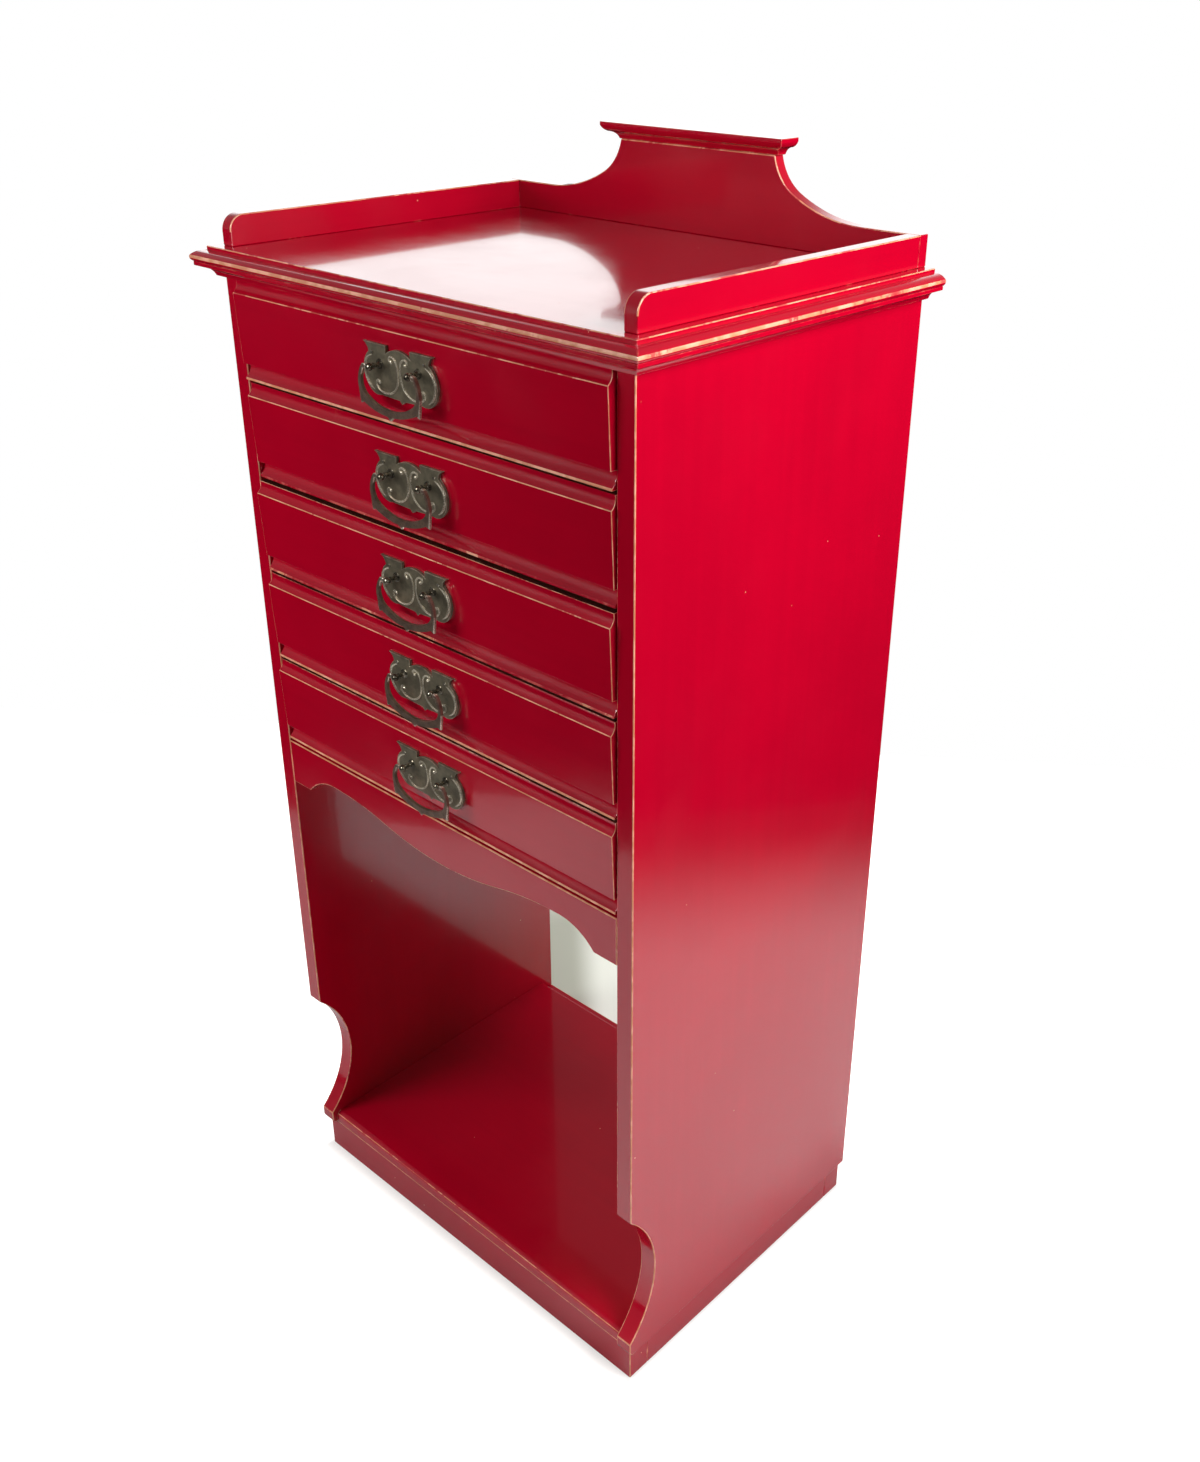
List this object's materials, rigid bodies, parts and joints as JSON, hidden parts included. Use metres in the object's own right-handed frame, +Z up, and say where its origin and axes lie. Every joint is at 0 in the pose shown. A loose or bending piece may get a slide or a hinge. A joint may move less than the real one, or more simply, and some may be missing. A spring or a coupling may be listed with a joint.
{
  "type": "sheet music cabinet",
  "caption": "Tall narrow red painted cabinet with shallow moulded drawers on drop handles, an open lower compartment with scrolled sides, a plinth and a low top gallery.",
  "frame": {"origin": "floor level at mid width and mid depth, on the underside of the plinth's middle bearer", "axes": "+Z up, +X to the right seen from the front, -Y out of the front"},
  "size_m": [0.565, 0.401, 1.19],
  "materials": {
    "red_paint": "gloss red paint, worn to pale undercoat on the arrises",
    "bare_wood": "unpainted wood, dulled with age",
    "bronze": "aged dark bronze with rubbed highlights"
  },
  "bodies": {
    "carcase": {"left_side": "red_paint", "right_side": "red_paint", "base_shelf": "red_paint", "plinth_rails": "red_paint", "plinth_ends": "bare_wood", "apron": "red_paint", "dust_board": "bare_wood", "back_panel": "bare_wood", "drawer_runners": "bare_wood", "bed_board": "red_paint", "top_board": "red_paint", "gallery_rails": "red_paint", "gallery_back": "red_paint", "gallery_cap": "red_paint"},
    "drawer_1": {"drawer_1_front": "red_paint", "drawer_1_lip": "red_paint", "drawer_1_bottom": "bare_wood", "drawer_1_sides": "bare_wood", "drawer_1_back": "bare_wood", "drawer_1_handle_plate": "bronze", "drawer_1_handle_posts": "bronze", "drawer_1_handle_pins": "bronze"},
    "bail_1": {"drawer_1_bail": "bronze"},
    "drawer_2": {"drawer_2_front": "red_paint", "drawer_2_lip": "red_paint", "drawer_2_bottom": "bare_wood", "drawer_2_sides": "bare_wood", "drawer_2_back": "bare_wood", "drawer_2_handle_plate": "bronze", "drawer_2_handle_posts": "bronze", "drawer_2_handle_pins": "bronze"},
    "bail_2": {"drawer_2_bail": "bronze"},
    "drawer_3": {"drawer_3_front": "red_paint", "drawer_3_lip": "red_paint", "drawer_3_bottom": "bare_wood", "drawer_3_sides": "bare_wood", "drawer_3_back": "bare_wood", "drawer_3_handle_plate": "bronze", "drawer_3_handle_posts": "bronze", "drawer_3_handle_pins": "bronze"},
    "bail_3": {"drawer_3_bail": "bronze"},
    "drawer_4": {"drawer_4_front": "red_paint", "drawer_4_lip": "red_paint", "drawer_4_bottom": "bare_wood", "drawer_4_sides": "bare_wood", "drawer_4_back": "bare_wood", "drawer_4_handle_plate": "bronze", "drawer_4_handle_posts": "bronze", "drawer_4_handle_pins": "bronze"},
    "bail_4": {"drawer_4_bail": "bronze"},
    "drawer_5": {"drawer_5_front": "red_paint", "drawer_5_lip": "red_paint", "drawer_5_bottom": "bare_wood", "drawer_5_sides": "bare_wood", "drawer_5_back": "bare_wood", "drawer_5_handle_plate": "bronze", "drawer_5_handle_posts": "bronze", "drawer_5_handle_pins": "bronze"},
    "bail_5": {"drawer_5_bail": "bronze"}
  },
  "joints": [
    {"name": "drawer_1_slide", "type": "slide", "parent": "carcase", "child": "drawer_1", "axis": [0, -1, 0], "range_m": [-0.0038, 0.27]},
    {"name": "bail_1_hinge", "type": "hinge", "parent": "drawer_1", "child": "bail_1", "pos_m": [0, -0.20892, 1.02515], "axis": [-1, 0, 0], "range_deg": [0, 95]},
    {"name": "drawer_2_slide", "type": "slide", "parent": "carcase", "child": "drawer_2", "axis": [0, -1, 0], "range_m": [-0.0004, 0.27]},
    {"name": "bail_2_hinge", "type": "hinge", "parent": "drawer_2", "child": "bail_2", "pos_m": [0, -0.20552, 0.92825], "axis": [-1, 0, 0], "range_deg": [0, 95]},
    {"name": "drawer_3_slide", "type": "slide", "parent": "carcase", "child": "drawer_3", "axis": [0, -1, 0], "range_m": [-0.0024, 0.27]},
    {"name": "bail_3_hinge", "type": "hinge", "parent": "drawer_3", "child": "bail_3", "pos_m": [0, -0.20752, 0.83135], "axis": [-1, 0, 0], "range_deg": [0, 95]},
    {"name": "drawer_4_slide", "type": "slide", "parent": "carcase", "child": "drawer_4", "axis": [0, -1, 0], "range_m": [-0.0014, 0.27]},
    {"name": "bail_4_hinge", "type": "hinge", "parent": "drawer_4", "child": "bail_4", "pos_m": [0, -0.20652, 0.73445], "axis": [-1, 0, 0], "range_deg": [0, 95]},
    {"name": "drawer_5_slide", "type": "slide", "parent": "carcase", "child": "drawer_5", "axis": [0, -1, 0], "range_m": [-0.0006, 0.27]},
    {"name": "bail_5_hinge", "type": "hinge", "parent": "drawer_5", "child": "bail_5", "pos_m": [0, -0.20572, 0.63755], "axis": [-1, 0, 0], "range_deg": [0, 95]}
  ]
}
